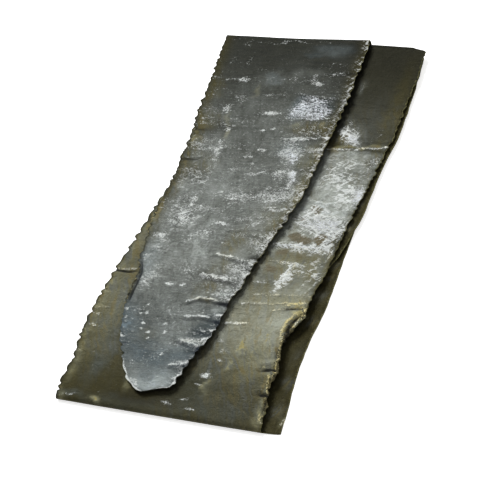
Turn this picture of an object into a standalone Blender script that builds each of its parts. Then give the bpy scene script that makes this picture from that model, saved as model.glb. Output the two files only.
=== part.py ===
"""Kombu: one dried kelp blade, folded over and over into a flat pile of four layers.

The blade is a single piece. Its rounded narrow end is the tongue on top of the pile. From there
the blade runs to the far fold and goes down behind the pile, comes back underneath it as the base
layer, turns up round the near fold, runs away again as the second layer from the top, turns down
round the inner fold and comes back between the second and the base layer, where it was cut off.

Modelled in metres with +Z up. X runs across the blade, Y runs along the pile towards the far fold,
and the origin is under the middle of the pile, on the surface that it rests on. All the numbers
below are millimetres until the blade is handed to Blender.
"""
import bpy
import numpy as np

MM = 0.001

# Leaf thickness: thick and leathery along the middle, thin at the margins
MIDDLE_THICKNESS = 1.3
MARGIN_THICKNESS = 0.7
THIN_FROM = 0.5

# Heights of the middle of the leaf in each layer, above the surface that the pile rests on
LAYER_STEP = 2.2
BASE_HEIGHT = MIDDLE_THICKNESS / 2
INNER_HEIGHT = BASE_HEIGHT + LAYER_STEP
SECOND_HEIGHT = INNER_HEIGHT + LAYER_STEP
TONGUE_HEIGHT = SECOND_HEIGHT + LAYER_STEP

# The two ends of the pile: where the flat layers end, and how far each fold bulges past that
FAR_LINE = 194.2
FAR_SLANT = 0.02
NEAR_LINE = -193.9
NEAR_SLANT = -0.008
FAR_BULGE = 3.2
INNER_BULGE = 1.3
NEAR_BULGE = 2.25
NEAR_STEP_IN = 0.3
TIP_LINE = -181.0
TIP_SLANT = 0.2
TIP_SLANT_LENGTH = 45.0
TIP_MIDDLE = -15.0
CUT_LINE = -186.0

# How far the middle of the pile's box lies from the point that the margins are measured from
CENTRE_X = -0.16
CENTRE_Y = 0.74

# Margins of the layers: place along the pile, left margin, right margin
TONGUE_MARGINS = (
    (-181, -24.0, -8.0), (-178, -29.0, -1.8), (-174, -34.0, -0.5), (-164, -42.5, 1.2),
    (-150, -51.0, 4.0), (-135, -59.0, 8.5), (-118, -64.0, 12.6), (-95, -68.0, 14.6),
    (-78, -68.0, 18.6), (-60, -72.5, 20.6), (-37, -75.0, 25.5), (-15, -77.8, 30.5),
    (8, -77.0, 36.0), (28, -76.0, 38.6), (50, -77.7, 39.3), (64, -77.0, 39.7),
    (80, -77.0, 40.5), (91, -80.8, 41.5), (105, -82.3, 42.0), (125, -83.5, 43.3),
    (150, -84.8, 42.0), (176, -87.2, 42.0), (194, -88.3, 41.0),
)
BASE_MARGINS = (
    (-194, -89.5, 87.8), (-172, -88.0, 86.2), (-150, -88.0, 84.0), (-129, -88.0, 83.0),
    (-112, -87.5, 83.2), (-94, -87.0, 84.8), (-74, -86.5, 86.0), (-30, -85.0, 85.2),
    (0, -81.5, 85.0), (40, -80.0, 83.0), (80, -81.0, 78.0), (120, -83.5, 70.0),
    (160, -86.5, 57.0), (194, -88.3, 41.0),
)
SECOND_MARGINS = (
    (-194, -90.0, 74.0), (-184, -91.0, 73.0), (-172, -90.3, 72.0), (-160, -90.0, 69.5),
    (-147, -91.6, 71.5), (-138, -92.4, 69.5), (-120, -92.8, 67.0), (-106, -92.6, 70.5),
    (-92, -91.6, 75.0), (-78, -90.6, 74.5), (-60, -88.0, 77.0), (-45, -86.0, 78.0),
    (-16, -82.6, 79.5), (6, -80.0, 81.0), (28, -77.5, 83.5), (50, -77.8, 85.5),
    (74, -79.5, 87.5), (100, -80.5, 90.0), (125, -81.5, 90.0), (157, -83.0, 91.0),
    (180, -85.5, 90.3), (191, -87.0, 89.5), (194, -87.0, 79.0),
)
INNER_MARGINS = (
    (-186, -80.0, 63.0), (-150, -84.0, 62.0), (-100, -86.0, 64.0), (-60, -86.0, 72.0),
    (-25, -82.0, 82.5), (0, -80.0, 86.5), (15, -78.5, 88.3), (40, -77.5, 88.6),
    (74, -79.5, 90.6), (105, -81.0, 93.0), (125, -82.0, 92.7), (160, -83.5, 91.4),
    (180, -86.0, 89.7), (191, -87.0, 88.3), (194, -87.0, 79.0),
)

# Teeth along the margins: seed, usual length of a tooth, depth of the notches on either side
TONGUE_TEETH = (11, 8.5, 1.7, 1.9)
BASE_TEETH = (12, 11.0, 1.5, 0.6)
SECOND_TEETH = (13, 10.5, 2.1, 0.7)
INNER_TEETH = (14, 11.0, 1.3, 0.7)
TOOTH_SHARE = 0.07
TOOTH_COUNT = 90
TOOTH_START = -260.0
TOOTH_FADE = 5.0
MEAN_NOTCH = 0.35
FULL_TOOTH_WIDTH = 40.0

# How far the wavy margins rise and sink, left and right, and how far inwards the waves reach
TONGUE_RUFFLE = (0.7, 1.3)
SECOND_RUFFLE = (0.55, 0.55)
INNER_RUFFLE = (0.2, 0.2)
BASE_RUFFLE = (0.0, 0.0)
RUFFLE_REACH = 12.0
RUFFLE_FADE = 16.0

# Waves of the upper layers: their lengths over a turn of 2 pi, and how much each layer takes part
LONG_WAVE = 27.0
SHORT_WAVE = 14.0
TONGUE_SWELL = 0.8
SECOND_SWELL = 0.4
INNER_SWELL = 0.15

# The inner fold isn't pressed shut: it holds the right side of the second layer up at the far end
INNER_SPRING = 1.3
INNER_SPRING_LENGTH = 85.0
INNER_SPRING_WIDTH = (-20.0, 60.0)

# The right side of the tongue stands clear of the second layer, by less in the near half, and so
# does its tip
TONGUE_LIFT = 4.1
TONGUE_LIFT_FROM = -0.35
TONGUE_LIFT_NEAR = 0.5
TONGUE_LIFT_RISE = (-90.0, 40.0)
TIP_LIFT = 1.6
TIP_LIFT_LENGTH = 90.0

# The second layer's right side curls up over the base layer in the near half, and its margin
# rolls over there and points down again
CURL_HEIGHT = 4.3
CURL_FROM = 0.5
ROLL_DROP = 2.2
ROLL_FROM = 0.88
CURL_START = -190.0
CURL_FULL = (-160.0, -88.0)
CURL_END = -35.0

# Spacing of the cross lines along the blade, and columns across it as shares of the half width
COARSE_STEP = 12.0
COLUMNS = (-1.0, -0.93, -0.82, -0.6, -0.3, 0.0, 0.3, 0.6, 0.82, 0.93, 1.0)
FAR_TURN_STEPS = 8
NEAR_TURN_STEPS = 8
INNER_TURN_STEPS = 6
TIP_LINES = 12

KOMBU_COLOUR = (0.055, 0.06, 0.035, 1.0)


def ease(value, start, end):
    """A smooth step: 0 before start, 1 after end, level at both."""
    share = np.clip((value - start) / (end - start), 0.0, 1.0)
    return share * share * (3.0 - 2.0 * share)


def through(points, column, places):
    """A smooth curve through the points, read at the places: cubic stretches that never overshoot.

    The slope at a point is the harmonic mean of the slopes on either side, or level at a turn.
    """
    table = np.array(points)
    knots = table[:, 0]
    values = table[:, column]
    straight = np.diff(values) / np.diff(knots)
    product = straight[:-1] * straight[1:]
    total = np.where(product > 0.0, straight[:-1] + straight[1:], 1.0)
    level = np.where(product > 0.0, 2.0 * product / total, 0.0)
    slopes = np.concatenate([straight[:1], level, straight[-1:]])
    stretch = np.clip(np.searchsorted(knots, places) - 1, 0, len(knots) - 2)
    length = knots[stretch + 1] - knots[stretch]
    u = np.clip((places - knots[stretch]) / length, 0.0, 1.0)
    start = values[stretch] + slopes[stretch] * length * u
    end = values[stretch + 1] - slopes[stretch + 1] * length * (1.0 - u)
    return start + (end - start) * u * u * (3.0 - 2.0 * u)


def teeth(places, seed, length):
    """Uneven teeth along a margin: how far it lies inside its mean line, and a wave to go with it.

    Each tooth is a rounded bulge between two sharp notches, and the wave pouts it up or down.
    """
    random = np.random.default_rng(seed)
    edges = np.cumsum(random.uniform(0.55, 1.45, TOOTH_COUNT) * length) + TOOTH_START
    depths = random.uniform(0.35, 1.0, TOOTH_COUNT)
    pouts = random.uniform(-1.0, 1.0, TOOTH_COUNT)
    tooth = np.searchsorted(edges, places) - 1
    u = (places - edges[tooth]) / (edges[tooth + 1] - edges[tooth])
    notch = 1.0 - np.sin(np.pi * u) ** 0.7
    wave = pouts[tooth] * np.sin(np.pi * u) ** 2
    share = 0.5 * (1.0 - np.cos(np.pi * u))
    depth = depths[tooth] * (1.0 - share) + depths[tooth + 1] * share
    return notch * depth - MEAN_NOTCH, wave


def fold_fade(places, width):
    """0 at the folds at either end of the pile, 1 from this width away from them."""
    return ease(FAR_LINE - places, 0.0, width) * ease(places - NEAR_LINE, 0.0, width)


def swell(x, y):
    """Shallow waves of a leaf that dried uneven, long and short ones, up to half a millimetre."""
    long_wave = 0.3 * np.sin((y + 0.3 * x) / LONG_WAVE + 0.6)
    return long_wave + 0.2 * np.sin((y - 0.5 * x) / SHORT_WAVE + 2.0)


def leaf_thickness(share):
    """Full thickness along the middle of the leaf, thinner towards the margins."""
    thin = ease(np.abs(share), THIN_FROM, 1.0)
    return MIDDLE_THICKNESS - (MIDDLE_THICKNESS - MARGIN_THICKNESS) * thin


def base_height(x, y, share):
    """The base layer lies flat on the surface under the pile over its whole width."""
    return np.zeros_like(x) + leaf_thickness(share) / 2


def inner_height(x, y, share):
    """The layer between the second and the base layer."""
    return INNER_HEIGHT + INNER_SWELL * swell(x, y)


def second_height(x, y, share):
    """The second layer from the top, with its right margin curled up in the near half."""
    along = ease(y, CURL_START, CURL_FULL[0]) * (1.0 - ease(y, CURL_FULL[1], CURL_END))
    across = np.clip((share - CURL_FROM) / (1.0 - CURL_FROM), 0.0, 1.0) ** 1.7
    roll = np.clip((share - ROLL_FROM) / (1.0 - ROLL_FROM), 0.0, 1.0) ** 2
    curl = along * (CURL_HEIGHT * across - ROLL_DROP * roll)
    spring = ease(y, FAR_LINE - INNER_SPRING_LENGTH, FAR_LINE) * ease(x, *INNER_SPRING_WIDTH)
    return SECOND_HEIGHT + SECOND_SWELL * swell(x, y) + curl + INNER_SPRING * spring


def tongue_height(x, y, share):
    """The tongue on top, raised towards its right margin and its tip."""
    across = np.clip((share - TONGUE_LIFT_FROM) / (1.0 - TONGUE_LIFT_FROM), 0.0, 1.0) ** 1.6
    along = TONGUE_LIFT_NEAR + (1.0 - TONGUE_LIFT_NEAR) * ease(y, *TONGUE_LIFT_RISE)
    tip = 1.0 - ease(y, TIP_LINE, TIP_LINE + TIP_LIFT_LENGTH)
    flat = TONGUE_HEIGHT + TONGUE_SWELL * swell(x, y)
    return flat + TONGUE_LIFT * across * along + TIP_LIFT * tip


def fan_out(x, places, tip_share):
    """Y of points on the cross lines, which turn a little to run along the slanting ends."""
    far = np.clip(places / FAR_LINE, 0.0, 1.0) ** 2
    near = np.clip(places / NEAR_LINE, 0.0, 1.0) ** 2
    tip = tip_share * (1.0 - ease(places, TIP_LINE, TIP_LINE + TIP_SLANT_LENGTH))
    ends = x * (FAR_SLANT * far + NEAR_SLANT * near)
    return places + ends + TIP_SLANT * (x - TIP_MIDDLE) * tip


def flat_layer(places, shares, margins, toothing, height, ruffle, tip_share=0.0):
    """Points of a layer on a grid: places along the pile, and shares of the blade's half width."""
    seed, length, left_depth, right_depth = toothing
    left = through(margins, 1, places)[:, None]
    right = through(margins, 2, places)[:, None]
    share = shares[None, :]
    half = (right - left) / 2
    left_notch, left_wave = teeth(places, seed, length)
    right_notch, right_wave = teeth(places, seed + 50, length)
    on_left = share < 0.0
    depth = np.where(on_left, left_depth * left_notch[:, None], -right_depth * right_notch[:, None])
    wave = np.where(on_left, ruffle[0] * left_wave[:, None], ruffle[1] * right_wave[:, None])
    narrow = np.clip(half / FULL_TOOTH_WIDTH, 0.0, 1.0)
    by_fold = fold_fade(places, TOOTH_FADE)[:, None]
    outer = np.clip((np.abs(share) - 1.0 + TOOTH_SHARE) / TOOTH_SHARE, 0.0, 1.0)
    x = (left + right) / 2 + share * half + depth * outer * narrow * by_fold
    y = fan_out(x, places[:, None], tip_share)
    inwards = (1.0 - np.abs(share)) * half
    fade = fold_fade(places, RUFFLE_FADE)[:, None] * np.exp(-(inwards / RUFFLE_REACH) ** 2)
    z = height(x, y, share) + wave * fade
    return np.stack([x, y, z], axis=2)


def fold(turns, before, after, bulge, step_in=1.0):
    """Points of a fold: half an ellipse from the last line of one layer to the first of the next.

    Where the two lines differ in width, the margins step over in the first part of the turn.
    """
    angle = turns[:, None]
    part = ease(angle, 0.0, np.pi * step_in)
    x = before[None, :, 0] * (1.0 - part) + after[None, :, 0] * part
    start = before[None, :, 1] * (1.0 - part) + after[None, :, 1] * part
    y = start + bulge * np.sin(angle)
    middle = (before[None, :, 2] + after[None, :, 2]) / 2
    reach = (before[None, :, 2] - after[None, :, 2]) / 2
    return np.stack([x, y, middle + reach * np.cos(angle)], axis=2)


def stations(start, end, step):
    """Places from start to end, four to each coarse step, and their ranks.

    Lines of rank 1 cross the whole blade, those of rank 2 end just inside the margins, and those of
    rank 3 are points of the margins alone.
    """
    number = np.arange(round(abs(end - start) / step) * 4 + 1)
    ranks = np.where(number % 4 == 0, 1, np.where(number % 2 == 0, 2, 3))
    return np.linspace(start, end, len(number)), ranks


def turn_stations(steps):
    """Angles inside a fold, without the two lines that it shares with the layers."""
    return np.linspace(0.0, np.pi, steps + 1)[1:-1], np.ones(steps - 1, dtype=int)


def blade_grid():
    """The middle of the folded blade, line by line from the tip of the tongue to the cut end.

    Returns the points, the rank of each line and whether a line belongs to the base layer.
    """
    shares = np.array(COLUMNS)
    tongue_places, tongue_ranks = stations(TIP_LINE, FAR_LINE, COARSE_STEP)
    base_places, base_ranks = stations(FAR_LINE, NEAR_LINE, COARSE_STEP)
    second_places, second_ranks = stations(NEAR_LINE, FAR_LINE, COARSE_STEP)
    inner_places, inner_ranks = stations(FAR_LINE, CUT_LINE, COARSE_STEP)
    tongue_ranks[:TIP_LINES] = 1
    far_turns, far_ranks = turn_stations(FAR_TURN_STEPS)
    near_turns, near_ranks = turn_stations(NEAR_TURN_STEPS)
    inner_turns, inner_turn_ranks = turn_stations(INNER_TURN_STEPS)

    tongue = flat_layer(tongue_places, shares, TONGUE_MARGINS, TONGUE_TEETH,
                        tongue_height, TONGUE_RUFFLE, tip_share=1.0)
    base = flat_layer(base_places, shares, BASE_MARGINS, BASE_TEETH, base_height, BASE_RUFFLE)
    second = flat_layer(second_places, shares, SECOND_MARGINS, SECOND_TEETH,
                        second_height, SECOND_RUFFLE)
    inner = flat_layer(inner_places, shares, INNER_MARGINS, INNER_TEETH,
                       inner_height, INNER_RUFFLE)
    far_fold = fold(far_turns, tongue[-1], base[0], FAR_BULGE)
    near_fold = fold(near_turns, base[-1], second[0], -NEAR_BULGE, step_in=NEAR_STEP_IN)
    inner_fold = fold(inner_turns, second[-1], inner[0], INNER_BULGE)
    points = np.concatenate([tongue, far_fold, base, near_fold, second, inner_fold, inner])
    ranks = np.concatenate([tongue_ranks, far_ranks, base_ranks, near_ranks,
                            second_ranks, inner_turn_ranks, inner_ranks])
    before_base = len(tongue_ranks) + len(far_ranks)
    lines = np.arange(len(ranks))
    on_base = (lines >= before_base) & (lines < before_base + len(base_ranks))
    return points - np.array([CENTRE_X, CENTRE_Y, 0.0]), ranks, on_base


def leaf_faces(points, on_base):
    """The outer and the inner face of the leaf, half its thickness to either side of its middle.

    The outer face of the base layer lies exactly on the surface under the pile.
    """
    normal = np.cross(np.gradient(points, axis=1), np.gradient(points, axis=0))
    normal /= np.linalg.norm(normal, axis=2, keepdims=True)
    half = leaf_thickness(np.array(COLUMNS))[None, :, None] / 2
    outer = points + normal * half
    inner = points - normal * half
    outer[on_base, :, 2] = 0.0
    return outer, inner


def lace(left, right):
    """Triangles between two columns of points, each column given by its line numbers."""
    triangles = []
    i = 0
    j = 0
    while i < len(left) - 1 or j < len(right) - 1:
        left_next = left[i + 1] if i < len(left) - 1 else np.inf
        right_next = right[j + 1] if j < len(right) - 1 else np.inf
        if left_next <= right_next:
            triangles.append((("left", left[i]), ("right", right[j]), ("left", left_next)))
            i += 1
        else:
            triangles.append((("left", left[i]), ("right", right[j]), ("right", right_next)))
            j += 1
    return triangles


def rim(triangles, step):
    """Triangles round the edge of the leaf, from the outer face to the inner one.

    An edge of the sheet that no second triangle shares lies on the rim. The inner face's numbers
    are those of the outer face plus the step.
    """
    edges = {(a, b) for face in triangles for a, b in zip(face, face[1:] + face[:1])}
    open_edges = [(a, b) for a, b in sorted(edges) if (b, a) not in edges]
    upper = [(b, a, a + step) for a, b in open_edges]
    lower = [(b, a + step, b + step) for a, b in open_edges]
    return upper + lower


def blade_mesh():
    """The blade as a closed leaf of triangles, fine along the margins and coarse in the middle."""
    points, ranks, on_base = blade_grid()
    outer, inner = leaf_faces(points, on_base)
    last = len(COLUMNS) - 1
    lines = []
    for column in range(len(COLUMNS)):
        inwards = min(column, last - column)
        finest = max(3 - inwards, 1)
        lines.append([line for line in range(len(ranks)) if ranks[line] <= finest])
    numbers = {}
    outer_vertices = []
    inner_vertices = []
    for column, kept in enumerate(lines):
        for line in kept:
            numbers[column, line] = len(outer_vertices)
            outer_vertices.append(outer[line, column] * MM)
            inner_vertices.append(inner[line, column] * MM)
    triangles = []
    for column in range(last):
        sides = {"left": column, "right": column + 1}
        for triangle in lace(lines[column], lines[column + 1]):
            triangles.append([numbers[sides[side], line] for side, line in triangle])
    step = len(outer_vertices)
    inner_triangles = [(a + step, c + step, b + step) for a, b, c in triangles]
    mesh = bpy.data.meshes.new("kombu")
    faces = triangles + inner_triangles + rim(triangles, step)
    mesh.from_pydata(outer_vertices + inner_vertices, [], faces)
    mesh.update()
    return mesh


def dried_leaf_material():
    """Dark olive-green dried leaf with a dull sheen."""
    material = bpy.data.materials.new("dried_leaf")
    material.use_nodes = True
    shader = material.node_tree.nodes["Principled BSDF"]
    shader.inputs["Base Color"].default_value = KOMBU_COLOUR
    shader.inputs["Roughness"].default_value = 0.5
    shader.inputs["Metallic"].default_value = 0.0
    return material


def make_kombu(collection):
    """The folded blade as one object."""
    mesh = blade_mesh()
    mesh.materials.append(dried_leaf_material())
    mesh.shade_smooth()
    kombu = bpy.data.objects.new("kombu", mesh)
    collection.objects.link(kombu)
    return kombu


def main():
    for leftover in list(bpy.data.objects):
        bpy.data.objects.remove(leftover)
    collection = bpy.data.collections.new("kombu")
    bpy.context.scene.collection.children.link(collection)
    make_kombu(collection)


main()
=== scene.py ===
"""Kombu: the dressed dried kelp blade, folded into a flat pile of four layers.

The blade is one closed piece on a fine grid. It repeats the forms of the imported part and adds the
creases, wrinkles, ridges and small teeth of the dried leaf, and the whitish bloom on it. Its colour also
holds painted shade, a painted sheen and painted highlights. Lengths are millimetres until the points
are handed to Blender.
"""

import math

import bpy
import numpy as np
from mathutils import Matrix, Vector


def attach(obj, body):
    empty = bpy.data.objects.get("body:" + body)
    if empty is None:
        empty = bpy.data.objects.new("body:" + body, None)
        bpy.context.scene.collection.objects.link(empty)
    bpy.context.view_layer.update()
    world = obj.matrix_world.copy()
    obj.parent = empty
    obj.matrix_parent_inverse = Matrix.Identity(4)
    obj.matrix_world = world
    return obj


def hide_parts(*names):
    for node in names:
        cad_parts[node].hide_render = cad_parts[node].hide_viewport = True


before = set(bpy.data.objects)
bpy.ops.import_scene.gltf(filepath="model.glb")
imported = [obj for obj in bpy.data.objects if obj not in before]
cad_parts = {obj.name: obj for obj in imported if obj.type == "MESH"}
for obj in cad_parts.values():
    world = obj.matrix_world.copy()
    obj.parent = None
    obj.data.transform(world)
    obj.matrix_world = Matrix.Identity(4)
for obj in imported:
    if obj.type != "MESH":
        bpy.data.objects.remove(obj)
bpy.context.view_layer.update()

MM = 0.001

# Leaf thickness
MIDDLE_THICKNESS = 1.3
MARGIN_THICKNESS = 0.7
TIP_THICKNESS = 0.65
TIP_THIN_LENGTH = 14
THIN_FROM = 0.5
RIM_ROUNDING = 0.32

# Heights of the middle of the leaf in each layer
LAYER_STEP = 2.2
BASE_HEIGHT = MIDDLE_THICKNESS / 2
INNER_HEIGHT = BASE_HEIGHT + LAYER_STEP
SECOND_HEIGHT = INNER_HEIGHT + LAYER_STEP
TONGUE_HEIGHT = SECOND_HEIGHT + LAYER_STEP

# The two ends of the pile
FAR_LINE = 194.2
FAR_SLANT = 0.02
NEAR_LINE = -193.9
NEAR_SLANT = -0.008
FAR_BULGE = 3.2
INNER_BULGE = 1.3
NEAR_BULGE = 2.25
NEAR_STEP_IN = 0.3
TIP_LINE = -181
TIP_SLANT = 0.2
TIP_SLANT_LENGTH = 45
TIP_MIDDLE = -15
TIP_HOLLOW = (-11.5, 6, 2.6)
CUT_LINE = -186
CENTRE = (-0.16, 0.74, 0)

# Margins of the layers: place along the pile, left margin, right margin
TONGUE_MARGINS = (
    (-181, -24, -8), (-178, -29, -1.8), (-174, -34, -0.5), (-164, -42.5, 1.2), (-150, -51, 4),
    (-135, -59, 8.5), (-118, -64, 12.6), (-95, -68, 14.6), (-78, -68, 18.6), (-60, -72.5, 20.6),
    (-37, -75, 25.5), (-15, -77.8, 30.5), (8, -77, 36), (28, -76, 38.6), (50, -77.7, 39.3), (64, -77, 39.7),
    (80, -77, 40.5), (91, -80.8, 41.5), (105, -82.3, 42), (125, -83.5, 43.3), (150, -84.8, 42),
    (176, -87.2, 42), (194, -88.3, 41),
)
BASE_MARGINS = (
    (-194, -89.5, 87.8), (-172, -88, 86.2), (-150, -88, 84), (-129, -88, 83), (-112, -87.5, 83.2),
    (-94, -87, 84.8), (-74, -86.5, 86), (-30, -85, 85.2), (0, -81.5, 85), (40, -80, 83), (80, -81, 78),
    (120, -83.5, 70), (160, -86.5, 57), (194, -88.3, 41),
)
SECOND_MARGINS = (
    (-194, -90, 74), (-184, -91, 73), (-172, -90.3, 72), (-160, -90, 69.5), (-147, -91.6, 71.5),
    (-138, -92.4, 69.5), (-120, -92.8, 67), (-106, -92.6, 70.5), (-92, -91.6, 75), (-78, -90.6, 74.5),
    (-60, -88, 77), (-45, -86, 78), (-16, -82.6, 79.5), (6, -80, 81), (28, -77.5, 83.5), (50, -77.8, 85.5),
    (74, -79.5, 87.5), (100, -80.5, 90), (125, -81.5, 90), (157, -83, 91), (180, -85.5, 90.3),
    (191, -87, 89.5), (194, -87, 79),
)
INNER_MARGINS = (
    (-186, -80, 63), (-150, -84, 62), (-100, -86, 64), (-60, -86, 72), (-25, -82, 82.5), (0, -80, 86.5),
    (15, -78.5, 88.3), (40, -77.5, 88.6), (74, -79.5, 90.6), (105, -81, 93), (125, -82, 92.7),
    (160, -83.5, 91.4), (180, -86, 89.7), (191, -87, 88.3), (194, -87, 79),
)

# Teeth along the margins: seed, usual length, depth of the notches on the left and on the right,
# depth of the nicks in them, height of the waves on the left and on the right
TONGUE_TEETH = (11, 8.5, 1.8, 2.1, 2.1, 0.7, 1.3)
BASE_TEETH = (12, 11, 1.5, 0.3, 0.3, 0, 0)
SECOND_TEETH = (13, 9, 2.8, 1, 1.8, 0.55, 0.55)
INNER_TEETH = (14, 11, 1.3, 0.7, 0.8, 0.2, 0.2)
TOOTH_LENGTHS = (0.55, 1.45)
TOOTH_DEPTHS = (0.35, 1)
TOOTH_POUTS = (-0.2, 0.9)
TOOTH_TOP = 0.28
TOOTH_SHARE = 0.07
TOOTH_COUNT = 90
TOOTH_START = -260
TOOTH_FADE = 5
MEAN_NOTCH = 0.35
FULL_TOOTH_WIDTH = 25
NICK_LENGTH = 2.3

# Waves of the margins and of the whole leaf
PLEAT_REACH = 7
RUFFLE_REACH = 12
RUFFLE_FADE = 16
LONG_WAVE = 27
SHORT_WAVE = 14
TONGUE_SWELL = 0.8
SECOND_SWELL = 0.4
INNER_SWELL = 0.15

# Raised parts: how high, from which share of the half width on and with which power, and where
# along the pile they begin, are full, are still full and end
INNER_SPRING = 1.3
INNER_SPRING_LENGTH = 85
INNER_SPRING_WIDTH = (-20, 60)
TONGUE_LIFT = (4.1, -0.35, 1.6)
TONGUE_LIFT_NEAR = 0.5
TONGUE_LIFT_RISE = (-90, 40)
TIP_LIFT = 1.6
TIP_LIFT_LENGTH = 90
CURL = (4.3, 0.5, 1.7)
ROLL_BACK = (2.2, 0.88, 2)
CURL_ALONG = (-190, -160, -88, -35)
LIP_ALONG = (-106, -98, -66, -56)
CRINKLED_ALONG = (-50, -10, 70, 84)
HEM_ALONG = (-186, -165, -92, -70)

# Random heights: seed, usual width, usual length
TONGUE_PLEATS = (31, 17, 6.5)
TONGUE_GRAIN = (35, 26, 5)
TONGUE_DENTS = (37, 11, 4.5)
LIP_JAGS = (39, 3, 3.4)
CRINKLES = (41, 15, 8)
FINE_CRINKLES = (42, 9, 4)
SECOND_PLEATS = (45, 13, 7)
HEM_CRUMPLES = (47, 5, 6.5)
SECOND_GRAIN = (49, 30, 6)
SECOND_DENTS = (51, 9, 5)
LINE_WANDER = (71, 4, 6)
WIDE_BANDS = (91, 40, 9)
NARROW_BANDS = (92, 14, 5)
BLOOM_VEINS = (95, 15, 9)
EDGE_SPECKS = (97, 5, 4)

# The grid: rows along the blade, and columns across its outer and its inner face
FINE_ROW = 1.1
COARSE_ROW = 4.5
HIDDEN_ROW = 7
OUTER_COLUMNS = 81
INNER_STRIDE = 4
COLUMN_CROWDING = 0.75
TURN_ROWS = 16
LATTICE = 128

# Ridges and grooves: from point, to point, half width, height. Their near side is the steeper one.
NEAR_SIDE = 0.5
FAR_SIDE = 1.7
TONGUE_RIDGES = (
    (-16, -68, -6, -70, 2.4, 1.2), (-6, -70, 14, -73, 3, 1.4), (-18, -96, -10, -92, 2.4, 1.3),
    (-10, -92, 2, -92, 3, 1.7), (2, -92, 16, -94, 3.6, 1.7), (-15, -111, 0, -109, 2.6, 1.2),
    (0, -109, 14, -111, 3.6, 1.9), (-11, -133, 0, -136, 3, 1.6), (0, -136, 9, -138, 3.2, 1.7),
    (-10, -157, 0, -155, 2.4, 0.9), (0, -155, 6, -151, 3, 1.6), (-12, -47, 0, -49, 2.2, 0.9),
    (0, -49, 18, -53, 3, 1.5), (18, -53, 21, -58, 2.6, 1), (4, -61, 18, -65, 2.6, 0.6),
    (2, -81, 16, -84, 2.8, 0.7), (0, -122, 12, -124, 3, 1), (-10, -22, 5, -20, 1, 0.5),
    (5, -20, 30, -18, 1.1, 0.5), (5, -25, 30, -27, 1.8, 0.6), (8, 2, 26, 3, 1.4, 0.4),
    (12, 22, 38, 25, 1.6, 0.5), (-77, 47, -60, 52, 1, 0.45), (-70, 140, -50, 142, 1, 0.4),
    (-3, 148, 10, 152, 1.2, 0.4), (10, 152, 36, 156, 1.2, 0.4), (-2, 130, 40, 124, 1.4, 0.5),
    (5, 100, 38, 104, 1.4, 0.5), (8, 77, 32, 80, 1.4, 0.5), (26, 66, 42, 67, 1.3, 0.5),
    (28, 45, 41, 50, 1.6, 0.5), (-17, 39, -3, 39, 1.2, 0.3),
)
SECOND_RIDGES = (
    (38, 74, 62, 77, 1.5, 0.55), (62, 77, 88, 82, 1.5, 0.7), (44, 55, 70, 44, 1.4, 0.5),
    (50, 48, 72, 36, 1.4, 0.5), (44, 38, 82, 30, 1.5, 0.5), (42, 20, 80, 12, 1.5, 0.6),
    (55, 22, 58, 4, 1.3, 0.5), (66, 24, 84, 18, 1.6, 0.6), (44, 2, 78, -6, 1.6, 0.5),
    (55, -8, 53, -26, 1.3, 0.5), (69, -8, 68, -32, 1.4, 0.6), (78, -8, 74, -40, 1.2, 0.5),
    (28, -28, 68, -30, 1.8, 0.7), (30, -45, 52, -46, 1.3, 0.5), (52, -45, 43, -75, 2, 0.6),
    (72, -50, 62, -71, 1.2, 0.5), (77, -55, 68, -73, 1.2, 0.5), (25, -66, 45, -63, 1.2, 0.4),
    (22, -89, 72, -83, 1.2, 0.6), (30, -79, 73, -76, 1.4, 0.5), (50, -92, 72, -88, 1.5, 0.6),
    (15, -109, 34, -107, 0.9, 0.8), (65, -103, 70, -94, 1.4, 1.2), (63.5, -112, 65, -103, 1.4, 1.4),
    (66.6, -122, 63.5, -112, 1.4, 1.4), (69.5, -108, 75, -89, 1.3, 1.2), (70, -133, 67, -122, 1.4, 1),
    (59, -126, 64, -135, 2.2, 1.2), (58, -143, 71, -142, 2.2, 1.5), (71, -149, 67, -152, 1.6, 1.2),
    (68, -162, 67, -153, 1.6, 1.2), (64, -166, 73, -167, 1.6, 1.2), (68, -183, 71, -171, 1.6, 0.9),
    (70, -190, 68, -183, 1.6, 0.8), (60, -86, 74, -84, 1.8, 0.8), (16, -89, 72, -82.5, 1.1, 0.5),
    (-90, -71, -72, -69, 1, 0.55), (-92, -111, -80, -110, 0.9, 0.4), (-92, -153, -70, -151, 1, 0.4),
    (-75, -160, -56, -190, 2.6, 0.25), (-60, -158, -42, -188, 3, 0.25),
)
GROOVES = (
    (66.5, -108, 68, -118, 2, 1.6), (68.5, -101, 66.5, -108, 2, 1.8), (72, -93, 68.5, -101, 2, 1.4),
    (60, -148.5, 70, -147, 1.8, 1.3), (66, -170, 74, -170, 1.8, 1.3), (60, -90.5, 70, -89.5, 1.6, 1),
    (-90, -73, -72, -71.5, 1.4, 0.6),
)

# Marks on the tops of ridges and just below them: height of a ridge with a full mark, how far the
# mark lies to the near side, and how far it reaches to the near and to the far side. The crest mark is
# rubbed bloom on the top with a painted highlight down the lit far side; the lee mark is painted shade
# just below a ridge on its near side.
CREST = (0.8, 0, 0.9, 3)
LEE = (1.6, 2, 2, 2)
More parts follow.
